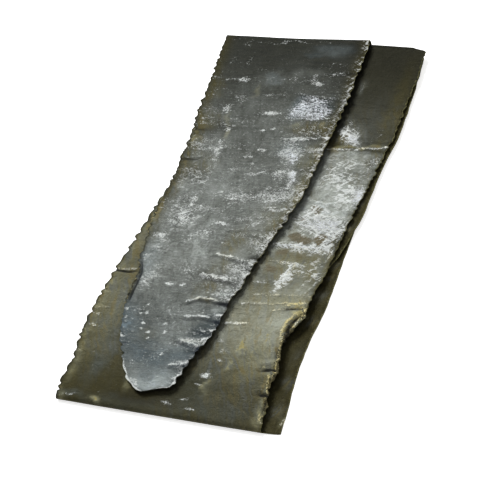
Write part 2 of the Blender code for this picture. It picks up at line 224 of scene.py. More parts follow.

# Dust and bloom along the pile: place, strength in percent. The tables of dust and sheen also hold a
# painted sheen, lighter towards the tongue's tip and over the pale part of the second layer.
TONGUE_DUST_AND_SHEEN = (
    (-181, 70), (-170, 50), (-155, 34), (-135, 20), (-110, 26), (-60, 38), (-20, 40), (20, 34), (60, 27),
    (90, 23), (120, 14), (150, 4), (194, 1),
)
TONGUE_BLOOM = (
    (-181, 4), (-165, 14), (-155, 17), (-140, 18), (-110, 18), (-60, 19), (0, 20), (60, 18), (95, 17),
    (130, 15), (160, 8), (194, 5),
)
SECOND_DUST_AND_SHEEN = (
    (-194, 6), (-165, 10), (-150, 18), (-132, 40), (-115, 62), (-100, 76), (-82, 60), (-50, 44), (-20, 64),
    (10, 88), (40, 82), (60, 72), (73, 60), (78, 8), (95, 10), (112, 11), (130, 4), (150, 1), (165, 0),
    (194, 0),
)
STRIP_FILM = (
    (-194, 0), (-165, 4), (-130, 14), (-85, 22), (0, 20),
)
SECOND_BLOOM = (
    (-194, 0), (-100, 2), (-60, 8), (-30, 12), (0, 12), (70, 10), (80, 0), (194, 0),
)

# Patches of the marks: place, half width, half length, strength in percent, and a turn in degrees
TONGUE_PATCHES = {"dust_and_sheen": (
    (14, 179, 16, 6, 4), (-15, 145, 40, 12, 5), (-28, 144, 8, 8, 10), (-38, -45, 12, 24, 14, -25),
    (-66, -48, 9, 16, 16, 10), (2, 154, 16, 6, 7), (-40, -146, 14, 10, -12), (0, -145, 9, 5, -12),
    (2, -121, 10, 7, -16), (-55, 62, 10, 12, 5), (12, 64, 12, 12, 6), (-2, -34, 10, 14, -8),
    (-54, 86, 14, 8, -10), (26, 86, 12, 8, -12), (36, 186, 10, 7, -6), (-30, 44, 12, 14, 8),
    (-50, 18, 20, 9, 24), (-28, 18, 10, 7, 10), (-30, -50, 8, 12, 34), (2, -50, 10, 7, 12),
    (-62, -67, 8, 10, 14), (-14, -67, 8, 6, -12), (-46, -84, 12, 12, 10), (-30, -100, 16, 14, 10),
    (-12, -106, 8, 10, 14), (-24, -130, 13, 12, 18), (-22, -153, 20, 7, -14), (3, -134, 8, 4, 20),
    (36, 112, 6, 14, -6), (16, 22, 16, 14, -4), (2, -84, 12, 6, 16), (-30, 2, 10, 8, 10),
    (-30, -16, 10, 8, 10), (2, -34, 8, 8, 8), (2, -16, 10, 8, 8), (-66, 34, 8, 8, -14), (-64, 18, 8, 7, 12),
    (-64, 86, 10, 8, -6), (12, 104, 18, 6, 10), (-14, -120, 8, 8, 14), (-12, -136, 8, 6, 12),
    (-10, -166, 12, 6, 12), (-14, -174, 13, 5, 90), (-34, -178, 6, 5, 40), (6, -168, 6, 5, 30),
    (10, -101.5, 8, 2.5, 40), (-56, 37, 6, 5, -10), (-49, 50, 4, 14, 14), (20, 114, 14, 12, -12),
    (-6, 112, 16, 10, 5), (20, -33, 10, 8, -10),
), "bloom": (
    (-20, 190, 62, 0.7, 42, 1), (-64, 183, 2, 4, 25), (-57, 167, 2, 5, 30), (-72, 163, 2, 6, 25),
    (16, 167, 3, 2, 40), (6, 152, 4, 2, 45, 8), (22, 154, 8, 1.5, 35, 3), (13, 143, 2.5, 1.4, 60),
    (8, 146, 4, 4, 30), (-79, 143, 5, 3, 35), (-62, 140, 9, 1.4, 50, 6), (-54, 141, 4, 3, 35),
    (-9, 148, 3, 6, 25), (-50, 121, 7, 5, 25), (-25, 127, 11, 1.4, 40, 2), (-18, 106, 8, 3, 60),
    (-9, 89, 2.2, 1.6, 90), (-18, 87, 2.4, 1.6, 70), (-1, 86, 2, 2, 40), (-56, 108, 3, 4, 40),
    (-61, 102, 3, 2, 35), (-50, 85, 2, 5, 50, 12), (-59, 67, 13, 9, 15), (-50, 60, 4, 13, 30),
    (22, 90, 20, 8, 12), (39, 82, 3, 2, 60), (16, 79, 14, 1.6, 50, 6), (10, 68, 9, 10, 25),
    (11, 78, 3, 2, 60), (14, 63, 3, 3, 60), (-13, 66, 4, 1.8, 80), (33, 67, 8, 1.4, 50),
    (-48, 42, 2.5, 22, 12), (-20, 56, 2.4, 1.6, 80), (-15, 49, 2.2, 2, 35), (-30, 43, 6, 3, 25),
    (-9, 40, 8, 1.6, 60), (15, 60, 11, 9, 35), (24, 36, 2.6, 8, 90, -4), (13, 40, 7, 5, 35),
    (-20, 13, 5, 3.4, 60), (-31, 16, 2.4, 2, 50), (-10, 15, 3, 1.6, 50), (-5, 13, 38, 5, 25),
    (22, 19, 17, 8, 35), (18, 1.8, 4, 1.4, 80), (27, 2, 3, 1.4, 70), (-52, 26, 5, 1.6, 40, 20),
    (-60, 30, 10, 8, 20), (-57, 7, 8, 4, 35), (-51, 4, 2, 8, 50, -20), (-56, -14, 9, 9, 40),
    (-53, -14, 3, 4, 40), (-63, -33, 8, 3, 50), (-30, -28, 6, 5, 35), (-40, -36, 2.4, 7, 35, -30),
    (-18, -17, 4, 2, 80), (9, -14, 5, 2, 70, 8), (26, -25, 8, 4, 30), (20, -36, 9, 4, 22),
    (12, -60, 10, 10, 35), (-66, -57, 5, 5, 40), (-12, -69.5, 4, 1.4, 80), (1, -71.5, 6, 1.4, 70),
    (-40, -81, 5, 1.8, 70), (-30, -81, 2, 1.8, 80), (-60, -78, 7, 10, 35), (10, -86, 9, 5, 40),
    (13, -124, 2.4, 4, 60), (2, -134, 12, 5, 40), (-4, -155, 8, 3, 25), (-17, -171, 11, 7, 12),
    (-33, -176, 6, 2.4, 60, -35), (5, -70, 14, 2, 25),
), "frost": (
    (17, 125, 13, 2.4, 50, -4), (15, 114, 11, 7, 45), (24, 109, 8, 6, 50), (6, 112, 6, 11, 45),
    (-1, 110, 4, 9, 25), (20, 118, 9, 7, 40), (18, 104, 10, 4, 40), (14, 62, 8, 8, 30), (18, 57, 4, 5, 30),
    (24, 37, 3, 7, 45, -4),
), "vein": (
    (-64, 28, 10, 28, 20), (-50, -10, 16, 16, 26), (-60, -40, 10, 16, 24), (18, 20, 20, 8, 20),
), "tan": (
    (-52, 95, 1.8, 10, 35, 10), (-48, 79, 1.8, 6, 60, 8), (-75, 71, 3.5, 9, 50), (-40, 131, 1.6, 6, 30, 4),
    (-77, -20, 3, 32, 60, 3), (6, 96, 3, 2, 40), (30, 96, 3, 3, 30), (2, -134, 9, 2.4, 50),
    (30, 60, 8, 10, 25), (34, 20, 6, 24, 30), (-6, -92.5, 10, 2, 30), (-4, -50, 14, 26, 12),
    (14, -20, 14, 30, 15),
), "olive": (
    (-76, 130, 8, 10, 70), (-70, 92, 11, 12, 70), (-74, 62, 7, 14, 90), (24, 91, 20, 9, 90),
    (32, 58, 9, 10, 90), (-2, -36, 7, 12, 80), (-4, -58, 7, 9, 70), (-8, -82, 10, 10, 60),
    (-62, 42, 14, 12, 60), (-40, -132, 8, 8, 40), (28, -10, 12, 20, 50),
), "blue": (
    (14, 181, 18, 7, 12), (-3, 174, 6, 3, 10), (-20, -150, 34, 12, 22), (-60, -120, 10, 24, 22, 20),
    (10, -120, 12, 24, 14, -15), (-66, -60, 8, 20, 22, 5), (4, 114, 7, 13, 30), (22, 116, 12, 10, 16),
    (10, 66, 10, 10, 20), (-28, 144, 7, 7, 12), (-60, -125, 4, 1.6, 60), (-17, -171, 18, 10, 20),
), "specks": (
    (-49, -103, 2.4, 1.6, 100), (-46, -110, 2.2, 1.8, 90), (-51, -112, 2.2, 1.8, 80),
    (-46, -121, 2.2, 1.6, 90), (-39, -129, 2.2, 1.6, 100), (-28, -119, 2.2, 2.4, 80),
    (-26, -127, 2.2, 2.8, 80), (-37, -135, 2.4, 1.6, 70), (-20, -147, 2.2, 1.8, 90),
    (-59, -134, 2.2, 1.6, 80), (-65, -110, 2.6, 1.8, 100, -30), (-45, -126, 2.2, 1.4, 70),
    (-57, -135.5, 1.8, 1.6, 65), (-54, -143, 2, 1.2, 70), (-51, -129.5, 1.8, 1.4, 70),
    (-60, -127, 1.8, 1.4, 65), (-41, -157, 2, 1.4, 70), (-76, -76, 1.6, 4, 80, 20),
    (-69, -97, 1.6, 3, 75, 20), (-73, -66, 1.4, 2.4, 70), (-80, -40, 1.4, 4, 60),
    (-62, -118, 1.6, 2.4, 80, 20), (-9, 89, 2.4, 1.6, 90), (-18, 87, 2.4, 1.6, 80), (-40, -81, 5, 1.6, 80),
    (-30, -81, 2.2, 1.8, 80),
# Painted shade: mostly on the near sides just below ridges, along the right margin and at the far end.
), "painted_shade": (
    (19, -46.5, 5, 2.2, 60), (-70, 47.5, 8, 1.2, 80, 8), (6, -142, 6, 1.8, 70), (-71, 81.5, 5, 1.2, 80),
    (24, 117, 6, 3.5, 40), (32, -4, 2.4, 2, 50), (-53, -142, 3, 1.4, 60), (12, -95, 8, 1.4, 60),
    (14, -116, 4, 1.6, 60), (-62, -127, 3, 1.2, 40), (2, -158, 7, 1.6, 40, 10), (36, 184, 8, 10, 30),
    (-82, 191, 8, 6, 25), (36, 154, 6, 8, 25), (16, -96.5, 5, 1.8, 50), (9, -139, 5, 1.8, 50),
    (13, -112.5, 5, 1.6, 50), (36, 86, 6, 5, 25),
)}
# The second layer's dust and sheen patches: dust and bloom, and at (62.5, -140) a painted highlight on the
# hem's knob.
SECOND_PATCHES = {"dust_and_sheen": (
    (57, 92, 9, 14, 20, 20), (49, 145, 3, 8, 15), (59, 37, 6, 5, -20), (75, 20, 7, 5, -20),
    (47, 42, 4, 40, -20), (80, 62, 7, 12, -35), (64, 51, 14, 7, -25), (46, -12, 6, 8, 15),
    (57, -72, 16, 6, 30), (69, -16, 9, 12, -35), (70, -56, 8, 8, -20), (56, -40, 24, 6, -26),
    (60, 12, 24, 14, 40), (62, 34, 10, 6, 20), (69, -72, 8, 6, 15), (67, -122, 6, 14, 25),
    (68, -158, 5, 24, 14), (52, -172, 18, 12, 5), (56, -144, 12, 8, 10), (-72, -146, 12, 8, 6),
    (-86, -92, 6, 10, 8), (-84, -68, 5, 7, -10), (22, -176, 14, 5, 6), (77, -87, 5, 7, -45),
    (80, -17, 5, 10, -35), (56, -10, 7, 5, 15), (68, -71, 6, 5, 20), (62.5, -140, 5, 2.6, 30),
    (66, -128, 3, 5, 15), (60, -104, 10, 8, 15), (70, -152, 2.5, 4, 10), (6, -170, 20, 16, -12),
    (56, -55, 6, 6, -15), (82, 80, 7, 4, 15), (80, 64, 5, 6, -10),
), "bloom": (
    (49, 100, 3.5, 9, 55), (58, 90, 5, 9, 62, 20), (57, 84, 6, 3, 50), (49, 144, 2.2, 6, 40),
    (76, 94, 2.4, 11, 30, -10), (60, 43, 12, 3, 60, -22), (80, 29, 6, 14, 60), (80, 64, 7, 8, 40),
    (58, -4, 22, 8, 20), (64, 4, 16, 6, 15), (50, -28, 22, 3.4, 90), (69, -18, 2.4, 11, 80),
    (57, -18, 2, 6, 80, -8), (75, -22, 4, 16, 20), (48, -60, 2.6, 16, 90, -16), (48, -47, 10, 1.8, 70),
    (58, -51, 5, 6, 30), (32, -65, 9, 1.4, 50, 4), (18, -158, 5, 4, 40), (-4, -186, 5, 2, 50, 10),
    (8, -182, 3, 1.6, 60), (17, -189, 4, 1.8, 60), (-80, -192, 7, 1.6, 50), (-87, -74, 5, 2, 40),
    (-87, -116, 5, 4, 35), (-86, -127, 6, 2, 40), (25, -108, 10, 1.6, 60, 6), (19, -126, 3, 2, 40),
    (24, -134, 4, 1.4, 40), (68, -158, 2, 9, 30),
), "frost": (
    (58, 88, 5, 6, 40, 20), (80, 29, 6, 12, 40), (60, -4, 20, 8, 35), (50, -28, 20, 3, 40),
), "vein": (
    (60, -4, 24, 12, 60), (72, 24, 14, 14, 30), (60, 50, 24, 26, 30), (52, -28, 22, 6, 70),
    (70, -18, 6, 14, 40), (48, -60, 4, 16, 60, -16), (66, -50, 12, 12, 35), (56, 90, 6, 12, 60, 20),
    (50, 8, 12, 10, 30),
), "bare": (
    (47, -19, 9, 5, 100), (63, -17, 5.5, 7, 100), (37, -35, 7, 4, 70), (51, 9, 6.5, 5, 75),
    (42, -2, 3, 2.5, 60), (34, -53, 7, 5, 70), (56, -38, 14, 5, 45), (61, 21, 4, 2, 30),
), "tan": (
    (50, -104, 26, 24, 60), (68, -105, 5, 20, 70), (70, -162, 5, 36, 90), (66, -128, 5, 7, 40),
    (48, -132, 24, 14, 40), (55, -80, 24, 9, 40), (54, -45, 26, 16, 50), (52, -150, 18, 12, 30),
    (-82, -95, 14, 60, 28), (67, -86, 9, 8, 40), (22, -167, 2.4, 8, 30), (32, -146, 1.6, 6, 90),
    (36.5, -128, 1.6, 6, 100), (46, -132, 1.4, 8, 60), (21, -167, 1.6, 4, 75), (54, -116, 1.4, 7, 60),
    (-58, -192, 4, 2.4, 120, -20), (-38, -176, 3, 6, 50, -10), (64, 79.5, 26, 1.8, 50, 9),
    (64, -142, 6, 4, 20), (72, -92, 3, 5, 60),
), "olive": (
    (84, 118, 8, 60, 60), (46, 84, 10, 9, 90), (62, 78, 26, 2, 80, 9),
), "blue": (
    (40, -188, 34, 8, 8), (-70, -130, 6, 45, 9), (-40, -192, 40, 6, 7), (10, -170, 22, 18, 8),
    (-66, -158, 8, 20, 8, -20), (22, -150, 10, 20, 5), (-82, -190, 10, 4, 10),
# Painted highlights: golden glints along the crumpled lip of the hem.
), "painted_hem_highlights": (
    (68.5, -108.5, 1.3, 3, 63), (69.3, -103, 1.1, 2.4, 56), (71.7, -94, 1.3, 3, 70, -30),
    (75, -88, 1.4, 2.6, 70), (73.8, -76, 1.3, 2, 56), (63.8, -111, 1, 4, 56), (70.3, -134, 1, 6, 56),
    (60, -144.3, 2.4, 1.4, 56), (69, -143.4, 1.6, 1.4, 56), (66.8, -153, 1.1, 3, 77),
    (67.8, -158.5, 1.2, 5, 84), (70.5, -163.5, 1.3, 2.4, 70), (72, -168.4, 1.9, 1.2, 63),
    (72.6, -176, 0.9, 5, 56), (69.4, -184, 1.3, 3, 70), (70.6, -189, 1.1, 3, 70), (73.2, -191, 1.6, 1.4, 63),
    (71, -172, 0.9, 4, 48),
), "spots": (
    (18, -158, 4.2, 3, 95, 10), (15, -167, 4, 1.2, 80), (24, -143, 2.4, 2.4, 80), (19, -126, 3, 1.6, 70),
    (24, -134, 4, 1.2, 70), (-4, -186, 4, 1.4, 80, 10), (8, -182, 3, 1.2, 80), (17, -189, 4, 1.4, 90),
    (-87, -116, 3, 2, 50), (-87, -127, 5, 1.4, 55), (-80, -192, 6, 1.2, 55),
# Painted shade: in the hem's crumples and grooves, in the left crease, as the tongue's shadow beside its
# right margin, at the far end and under the tongue's tip.
), "painted_shade": (
    (-81, -72.3, 8, 1.2, 90, 6), (68, -169.5, 5, 1.6, 90), (66, -147, 5, 1.6, 90),
    (70, -98, 1.6, 5, 90, -30), (67, -107, 1.6, 5, 100, -10), (67.5, -117, 1.6, 6, 100, 10),
    (66, -133, 1.6, 6, 70, 20), (71, -137, 1.2, 5, 70), (70, -152, 2, 2, 80), (71, -178, 1.4, 6, 80),
    (60, -90, 8, 2, 25), (40, 150, 6, 60, 40), (68, 184, 34, 24, 30), (-24, -186, 24, 7, 45),
)}
# The base's dust and sheen patches are painted reflections: soft lighter streaks across its visible band.
BASE_PATCHES = {"dust_and_sheen": (
    (80, -176, 7, 6, 18), (80, -152, 7, 5, 15), (80, -128, 7, 8, 5), (80, -92, 7, 4, 25),
    (80, -68, 7, 5, 15), (80, -50, 7, 2.5, 20), (80, -36, 7, 4, 25), (80, -4, 7, 5, 20), (80, 22, 7, 5, 15),
), "gold": (
    (80, -193.4, 7, 0.9, 130, 8), (86.5, -186, 0.8, 6, 80), (82.5, -104, 0.8, 6, 90),
)}
# How far the outlines of small patches are pushed about, where the others take the full push
SMALL_PUSH = {"specks": 0.4, "painted_shade": 0.3, "spots": 0.2, "painted_hem_highlights": 0.2, "gold": 0.2}
MARKS = ("dust_and_sheen", "bloom", "crest", "frost", "bare", "tan", "olive", "blue", "vein", "painted_shade")
MARGIN_WIDTH = 3
INNER_DEPTH = 12

# The camera: its turns in degrees, place in metres, lens in millimetres
CAMERA_TURNS = ((32.227, "Z"), (90 - 46.502, "X"), (-17.78, "Z"))
CAMERA_PLACE = (0.52741, -0.86475, 1.04713)
LENS = 138.88
# The lights: place and size in metres, power in watts
WINDOW_LIGHT = ((-0.8, 0.8, 1.4), 0.9, 44)
ROOM_LIGHT = ((0.4, -0.3, 2.2), 1.2, 5)
SKY_STRENGTH = 0.16
FLOOR_REACH = 8
FLOOR_HEIGHT = -0.0003


def ease(value, start, end):
    """A smooth step from 0 at the start to 1 at the end, which may be the lower one."""
    share = np.clip((value - start) / (end - start), 0, 1)
    return share * share * (3 - 2 * share)


def stretch(places, stops):
    """1 between the two middle stops, with a rise before them and a fall after them."""
    return ease(places, *stops[:2]) * ease(places, *stops[:1:-1])


def bell(distance, width):
    """1 where the distance is 0, falling off on either side of it."""
    return np.exp(-(distance / width) ** 2)


def through(points, column, places):
    """A smooth curve through the points: cubic stretches that never overshoot.

    The slope at a point is the harmonic mean of those on either side, or level at a turn.
    """
    knots, values = np.array(points).T[[0, column]]
    straight = np.diff(values) / np.diff(knots)
    product = straight[:-1] * straight[1:]
    total = np.where(product > 0, straight[:-1] + straight[1:], 1)
    level = np.where(product > 0, 2 * product / total, 0)
    slopes = np.concatenate([straight[:1], level, straight[-1:]])
    part = np.clip(np.searchsorted(knots, places) - 1, 0, len(knots) - 2)
    length = knots[part + 1] - knots[part]
    u = np.clip((places - knots[part]) / length, 0, 1)
    start = values[part] + slopes[part] * length * u
    end = values[part + 1] - slopes[part + 1] * length * (1 - u)
    return start + (end - start) * u * u * (3 - 2 * u)


def teeth(places, toothing, side):
    """Uneven teeth along a margin: how far they lie inside its mean line, their wave and their pleats.

    A tooth is a rounded bulge between two sharp notches. The wave lifts its near end, like a
    shingle's, and the pleat is a narrow ridge along its top. Side 0 is left and side 1 is right.
    """
    random = np.random.default_rng(toothing[0] + 50 * side)
    edges = np.cumsum(random.uniform(*TOOTH_LENGTHS, TOOTH_COUNT) * toothing[1]) + TOOTH_START
    depths = random.uniform(*TOOTH_DEPTHS, TOOTH_COUNT)
    pouts = random.uniform(*TOOTH_POUTS, TOOTH_COUNT)
    tooth = np.searchsorted(edges, places) - 1
    length = edges[tooth + 1] - edges[tooth]
    u = (places - edges[tooth]) / length
    notch = 1 - np.sin(np.pi * u) ** 0.7
    wave = pouts[tooth] * (np.sin(np.pi * u ** 0.55) ** 1.5 - 0.4)
    share = 0.5 * (1 - np.cos(np.pi * u))
    depth = depths[tooth] * (1 - share) + depths[tooth + 1] * share
    from_top = (u - TOOTH_TOP) * length
    pleat = (0.4 + pouts[tooth]) * np.exp(-np.abs(from_top / np.where(from_top < 0, 1.4, 2.6)) ** 1.5)
    return notch * depth - MEAN_NOTCH, wave, pleat


def fringe(y, inwards, toothing):
    """The waves and pleats of a layer's right margin, which die out inwards."""
    wave, pleat = teeth(y, toothing, 1)[1:]
    fade = bell(inwards, PLEAT_REACH)
    return wave * fade, pleat * fade


def fold_fade(places, width):
    """0 at the folds at either end of the pile, 1 from this width away from them."""
    return ease(FAR_LINE - places, 0, width) * ease(places - NEAR_LINE, 0, width)


def swell(x, y):
    """Shallow waves of an uneven leaf, long and short ones, up to half a millimetre."""
    long_wave = 0.3 * np.sin((y + 0.3 * x) / LONG_WAVE + 0.6)
    return long_wave + 0.2 * np.sin((y - 0.5 * x) / SHORT_WAVE + 2)


def mottle(x, y, seed, wide, long):
    """Smooth random heights from 0 to 1: random numbers on a lattice with eases between them."""
    table = np.random.default_rng(seed).random((LATTICE, LATTICE))
    u, v = x / wide, y / long
    column, row = np.floor(u).astype(int), np.floor(v).astype(int)
    a, b = ease(u - column, 0, 1), ease(v - row, 0, 1)
    left, right = column % LATTICE, (column + 1) % LATTICE
    low, high = row % LATTICE, (row + 1) % LATTICE
    near = table[left, low] * (1 - a) + table[right, low] * a
    far = table[left, high] * (1 - a) + table[right, high] * a
    return near * (1 - b) + far * b


def wrinkles(x, y, seed, wide, long):
    """Wrinkles with sharp crests, from 0 to 1: mottled heights folded over at their middle."""
    coarse = 1 - np.abs(2 * mottle(x, y, seed, wide, long) - 1)
    fine = 1 - np.abs(2 * mottle(x + 0.4 * y, y, seed + 1, wide / 2.3, long / 2.1) - 1)
    return 0.65 * coarse ** 2 + 0.35 * fine ** 2


def beside_line(x, y, line):
    """How far points lie beside a line, positive on its near side, and past its ends."""
    x0, y0, x1, y1 = line[:4]
    dx, dy = x1 - x0, y1 - y0
    run = math.hypot(dx, dy)
    along = ((x - x0) * dx + (y - y0) * dy) / run
    past = np.maximum(np.maximum(-along, along - run), 0)
    wander = 1.6 * (mottle(x, y, *LINE_WANDER) - 0.5)
    return ((x - x0) * dy - (y - y0) * dx) / run + wander, past


def raised_lines(x, y, lines):
    """The highest of a layer's ridges at every point, each of them steeper on its near side."""
    best = 0 * x
    for line in lines:
        aside, past = beside_line(x, y, line)
        width, height = line[4:]
        sides = width * np.where(aside > 0, NEAR_SIDE, FAR_SIDE)
        best = np.maximum(best, height * np.exp(-(aside / sides) ** 2 - (past / (1.6 * width)) ** 2))
    return best


def line_marks(x, y, lines, form):
    """The strongest mark of the lines: full on a high one, 0 beside it and past its ends."""
    full_height, shift, near_reach, far_reach = form
    best = 0 * x
    for line in lines:
        aside, past = beside_line(x, y, line)
        off = aside - shift
        off = np.where(off > 0, off / near_reach, -off / far_reach)
        best = np.maximum(best, min(1, line[5] / full_height) * (1 - off - past / 4))
    return best


def leaf_thickness(share):
    """Full thickness along the middle of the leaf, thinner towards the margins."""
    thin = ease(np.abs(share), THIN_FROM, 1)
    return MIDDLE_THICKNESS - (MIDDLE_THICKNESS - MARGIN_THICKNESS) * thin


def lifted(share, height, start, power):
    """0 up to a share of the half width, then rising ever faster to the right margin."""
    return height * np.clip((share - start) / (1 - start), 0, 1) ** power


def base_height(x, y, share):
    """The base layer lies flat on the surface under the pile over its whole width."""
    return leaf_thickness(share) / 2 + 0 * x


def inner_height(x, y, share):
    """The layer between the second and the base layer."""
    return INNER_HEIGHT + INNER_SWELL * swell(x, y)


def second_height(x, y, share):
    """The second layer from the top, with its right margin curled up in the near half."""
    curl = stretch(y, CURL_ALONG) * (lifted(share, *CURL) - lifted(share, *ROLL_BACK))
    spring = ease(y, FAR_LINE - INNER_SPRING_LENGTH, FAR_LINE) * ease(x, *INNER_SPRING_WIDTH)
    return SECOND_HEIGHT + SECOND_SWELL * swell(x, y) + curl + INNER_SPRING * spring


def tongue_height(x, y, share):
    """The tongue on top, raised towards its right margin and its tip."""
    along = TONGUE_LIFT_NEAR + (1 - TONGUE_LIFT_NEAR) * ease(y, *TONGUE_LIFT_RISE)
    tip = ease(y, TIP_LINE + TIP_LIFT_LENGTH, TIP_LINE)
    return TONGUE_HEIGHT + TONGUE_SWELL * swell(x, y) + lifted(share, *TONGUE_LIFT) * along + TIP_LIFT * tip


def tongue_relief(x, y, inwards, share):
    """Ridges, pleats running in from the margins, fine cross wrinkles and a turned lip."""
    right = np.clip(share, 0, 1)
    pleats = (0.4 + 0.8 * right) * (wrinkles(x, y, *TONGUE_PLEATS) - 0.4) * np.exp(-inwards / 13)
    toothed = (share > 0) * (fringe(y, inwards, TONGUE_TEETH)[1] - 0.25 * bell(inwards, 7))
    lip = stretch(y, LIP_ALONG) * (share < 0) * (0.5 + 1.1 * mottle(x, y, *LIP_JAGS))
    turned = lip * (1.1 * bell(inwards, 1.2) - 0.5 * bell(inwards - 2.6, 1.1))
    fine = 0.16 * (wrinkles(x, y, *TONGUE_GRAIN) - 0.4) + 0.12 * (wrinkles(x, y, *TONGUE_DENTS) - 0.4)
    toothed = (1.3 - 0.8 * ease(y, -90, 60)) * toothed
    return raised_lines(x, y, TONGUE_RIDGES) + pleats + toothed + fine + turned


def second_relief(x, y, inwards, share):
    """Ridges, a crinkled part beside the tongue, pleats along the margins and a crumpled hem."""
    shown = np.maximum(ease(x, 22 + 0.12 * y, 30 + 0.12 * y), ease(-x, 66, 74))
    shown = np.maximum(shown, ease(y, -160, -176))
    crinkled = stretch(y, CRINKLED_ALONG) * ease(x, 30, 45)
    crinkle = wrinkles(x, y - 0.35 * x, *CRINKLES) + 0.5 * wrinkles(x, y - 0.6 * x, *FINE_CRINKLES) - 0.2
    pleats = wrinkles(x, y, *SECOND_PLEATS) * np.exp(-inwards / 10)
    hem = (share > 0) * np.exp(-inwards / 7) * stretch(y, HEM_ALONG)
    fine = 0.15 * (wrinkles(x, y, *SECOND_GRAIN) - 0.4) + 0.12 * (wrinkles(x, y, *SECOND_DENTS) - 0.4)
    lines = raised_lines(x, y, SECOND_RIDGES) - raised_lines(x, y, GROOVES)
    relief = lines + crinkled * (1.1 * crinkle - 0.3) + 0.5 * pleats + fine
    return shown * relief + 1.5 * hem * (wrinkles(x, y, *HEM_CRUMPLES) - 0.35)


def fan_out(x, places, tip_share):
    """Y of points on the cross lines, which slant a little towards the slanting ends."""
    far = np.clip(places / FAR_LINE, 0, 1) ** 2
    near = np.clip(places / NEAR_LINE, 0, 1) ** 2
    tip = tip_share * ease(places, TIP_LINE + TIP_SLANT_LENGTH, TIP_LINE)
    middle, width, depth = TIP_HOLLOW
    hollow = depth * bell(x - middle, width)
    return places + x * (FAR_SLANT * far + NEAR_SLANT * near) + (TIP_SLANT * (x - TIP_MIDDLE) + hollow) * tip


def margin_teeth(places, toothing, side):
    """How far a margin lies inside its mean line, with teeth and nicks, and its wave."""
    notch, wave = teeth(places, toothing, side)[:2]
    nick = mottle(places, 0 * places, toothing[0] + 60 + side, NICK_LENGTH, 1) - 0.5
    depth = toothing[2 + side] * notch + toothing[4] * nick
    return depth[:, None], toothing[5 + side] * wave[:, None]


def flat_layer(shares, start, end, step, margins, toothing, height, relief=None, tip_share=0):
    """Points of a layer: rows along the pile and columns at shares of the half width."""
    places = np.linspace(start, end, round(abs(end - start) / step) + 1)
    left, right = (through(margins, column, places)[:, None] for column in (1, 2))
    share = shares[None, :]
    half = (right - left) / 2
    left_depth, left_wave = margin_teeth(places, toothing, 0)
    right_depth, right_wave = margin_teeth(places, toothing, 1)
    wave = np.where(share < 0, left_wave, right_wave)
    narrow = np.clip(half / FULL_TOOTH_WIDTH, 0, 1)
    by_fold = fold_fade(places, TOOTH_FADE)[:, None]
    outer = np.clip((np.abs(share) - 1 + TOOTH_SHARE) / TOOTH_SHARE, 0, 1)
    depth = np.where(share < 0, left_depth, -right_depth)
    x = (left + right) / 2 + share * half + depth * outer * narrow * by_fold
    y = fan_out(x, places[:, None], tip_share)
    inwards = (1 - np.abs(share)) * half
    level = fold_fade(places, RUFFLE_FADE)[:, None]
    fade = level * bell(inwards, RUFFLE_REACH)
    z = height(x, y, share) + wave * fade
    if relief:
        z = z + level * relief(x, y, inwards, share)
    return np.stack([x, y, z], axis=2)


def fold(turns, before, after, bulge, step_in=1):
    """Points of a fold: half an ellipse from the last line of one layer to the first of the next.

    Their difference in width is made up in the first part of the turn.
    """
    angle = turns[:, None]
    part = ease(angle, 0, np.pi * step_in)[..., None]
    points = before * (1 - part) + after * part
    points[..., 1] += bulge * np.sin(angle)
    middle = (before + after)[:, 2] / 2
    points[..., 2] = middle + (before - after)[:, 2] / 2 * np.cos(angle)
    return points


def blade_sheet():
    """The middle surface of the folded blade, row by row from the tongue's tip to the cut end.

    Returns the points, the layer of each row, which is 0 on the tongue, 1 on the base, 2 on the
    second layer and 3 on the inner one, and the shares of the half width.
    """
    u = np.linspace(-1, 1, OUTER_COLUMNS)
    crowding = COLUMN_CROWDING * np.pi / 2
    shares = np.sin(crowding * u) / np.sin(crowding)
    turns = np.linspace(0, np.pi, TURN_ROWS + 1)[1:-1]
    tongue, base, second, inner = (flat_layer(shares, *form) for form in (
        (TIP_LINE, FAR_LINE, FINE_ROW, TONGUE_MARGINS, TONGUE_TEETH, tongue_height, tongue_relief, 1),
        (FAR_LINE, NEAR_LINE, COARSE_ROW, BASE_MARGINS, BASE_TEETH, base_height),
        (NEAR_LINE, FAR_LINE, FINE_ROW, SECOND_MARGINS, SECOND_TEETH, second_height, second_relief),
        (FAR_LINE, CUT_LINE, HIDDEN_ROW, INNER_MARGINS, INNER_TEETH, inner_height)))
    parts = [tongue, fold(turns, tongue[-1], base[0], FAR_BULGE), base,
             fold(turns, base[-1], second[0], -NEAR_BULGE, NEAR_STEP_IN), second,
             fold(turns, second[-1], inner[0], INNER_BULGE), inner]
    layers = []
    for number, layer in enumerate((tongue, base, second, inner)):
        layers += [np.full(len(layer), float(number)), number + turns / np.pi]
    return np.concatenate(parts), np.concatenate(layers[:-1]), shares


def unit(vectors):
    """The vectors brought to the length 1."""
    return vectors / np.linalg.norm(vectors, axis=2, keepdims=True)


def local_thickness(points, layers, shares):
    """The leaf's thickness at every point, thinner still towards the tongue's tip."""
    from_tip = np.where(layers[:, None] == 0, points[..., 1] - TIP_LINE, TIP_THIN_LENGTH)
    return TIP_THICKNESS + (leaf_thickness(shares) - TIP_THICKNESS) * ease(from_tip, 0, TIP_THIN_LENGTH)


def around(outer, inner):
    """A loop's values: the outer face, the right rim, every fourth column back over the inner face
    and the left rim. A rim has the mean of both faces.
    """
    inner = inner[:, ::-INNER_STRIDE]
    right = (outer[:, -1:] + inner[:, :1]) / 2
    left = (outer[:, :1] + inner[:, -1:]) / 2
    return np.concatenate([outer, right, inner, left], axis=1)


